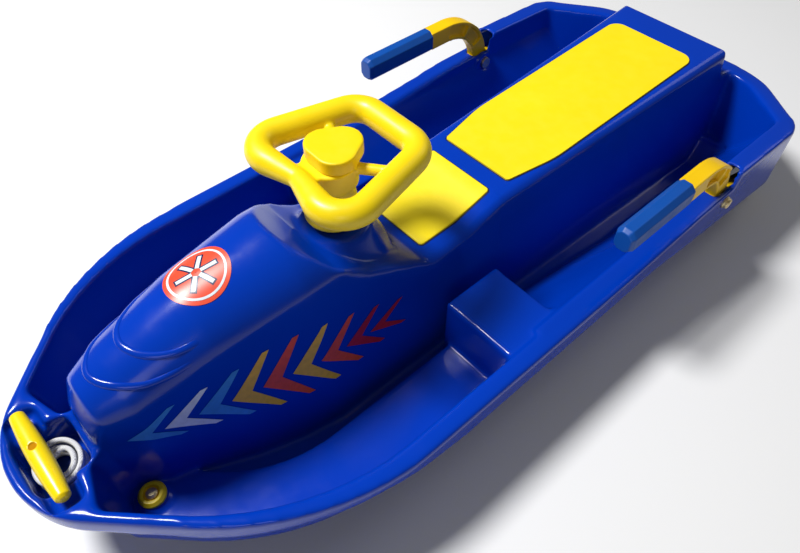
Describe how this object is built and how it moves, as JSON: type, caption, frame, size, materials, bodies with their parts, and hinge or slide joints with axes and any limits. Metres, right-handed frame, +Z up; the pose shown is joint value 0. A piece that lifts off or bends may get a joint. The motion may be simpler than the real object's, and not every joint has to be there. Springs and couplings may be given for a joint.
{
  "type": "steering sled",
  "caption": "Child's moulded plastic snow sled with a spine seat, a steering wheel that turns a ski under it, side brake levers with steel claws and a tow cord with a toggle at the nose.",
  "frame": {"origin": "on the ground under the middle of the sled's length and width", "axes": "-Y points to the nose, +X to the rider's left, +Z up; the runners rest at z 0"},
  "size_m": [0.424, 0.9599, 0.276],
  "materials": {
    "hull_blue": "moulded polyethylene, glossy, deep blue",
    "pad_yellow": "satin, fine grain, yellow",
    "wheel_yellow": "smooth satin gloss, yellow",
    "lever_yellow": "satin, orange-yellow",
    "grip_blue": "satin, mid blue",
    "handle_yellow": "smooth gloss, yellow",
    "cord_white": "braided white cord",
    "housing_black": "matte black",
    "bush_white": "natural white bearing plastic",
    "ski_black": "matte black",
    "zinc_steel": "zinc plated with a yellow cast",
    "runner_steel": "drawn steel rod, polished by snow",
    "claw_steel": "reddish brown plated steel",
    "eyelet_metal": "pressed, satin"
  },
  "bodies": {
    "hull": {"hull": "hull_blue", "seat_pad_front": "pad_yellow", "seat_pad_rear": "pad_yellow", "column_housing": "housing_black", "upper_bush": "bush_white", "lower_bush": "bush_white", "housing_screws": "zinc_steel", "runner_rod_left": "runner_steel", "runner_rod_right": "runner_steel", "runner_cup_washers": "wheel_yellow", "runner_bolts": "zinc_steel", "runner_nuts": "zinc_steel", "brake_bolts": "zinc_steel", "brake_nuts": "zinc_steel", "brake_sleeves": "zinc_steel", "brake_spacers": "bush_white", "cord_eyelet": "eyelet_metal", "tow_cord_hank": "cord_white", "tow_cord_lead": "cord_white", "tow_cord_tail": "cord_white", "tow_cord_knot": "cord_white"},
    "steering": {"steering_wheel": "wheel_yellow", "wheel_hub_cap": "wheel_yellow", "steering_boss": "wheel_yellow", "steering_shaft": "zinc_steel", "wheel_cross_pin": "zinc_steel", "steering_ski": "ski_black", "ski_bolt": "zinc_steel", "ski_nut": "zinc_steel", "shaft_collar": "zinc_steel"},
    "brake_left": {"brake_lever_left": "lever_yellow", "brake_grip_left": "grip_blue", "brake_claw_left": "claw_steel", "claw_rivets_left": "zinc_steel"},
    "brake_right": {"brake_lever_right": "lever_yellow", "brake_grip_right": "grip_blue", "brake_claw_right": "claw_steel", "claw_rivets_right": "zinc_steel"},
    "pull_handle": {"pull_handle": "handle_yellow"}
  },
  "joints": [
    {"name": "steering_turn", "type": "hinge", "parent": "hull", "child": "steering", "pos_m": [0, -0.138, 0.15], "axis": [0, 0, 1], "range_deg": [-25, 25]},
    {"name": "brake_left_pull", "type": "hinge", "parent": "hull", "child": "brake_left", "pos_m": [0.191, 0.26, 0.104], "axis": [-1, 0, 0], "range_deg": [0, 20]},
    {"name": "brake_right_pull", "type": "hinge", "parent": "hull", "child": "brake_right", "pos_m": [-0.191, 0.26, 0.104], "axis": [-1, 0, 0], "range_deg": [0, 20]},
    {"name": "handle_pull", "type": "slide", "parent": "hull", "child": "pull_handle", "axis": [0, 0, 1], "range_m": [0, 0.05], "deforming": ["tow_cord_tail"]}
  ]
}
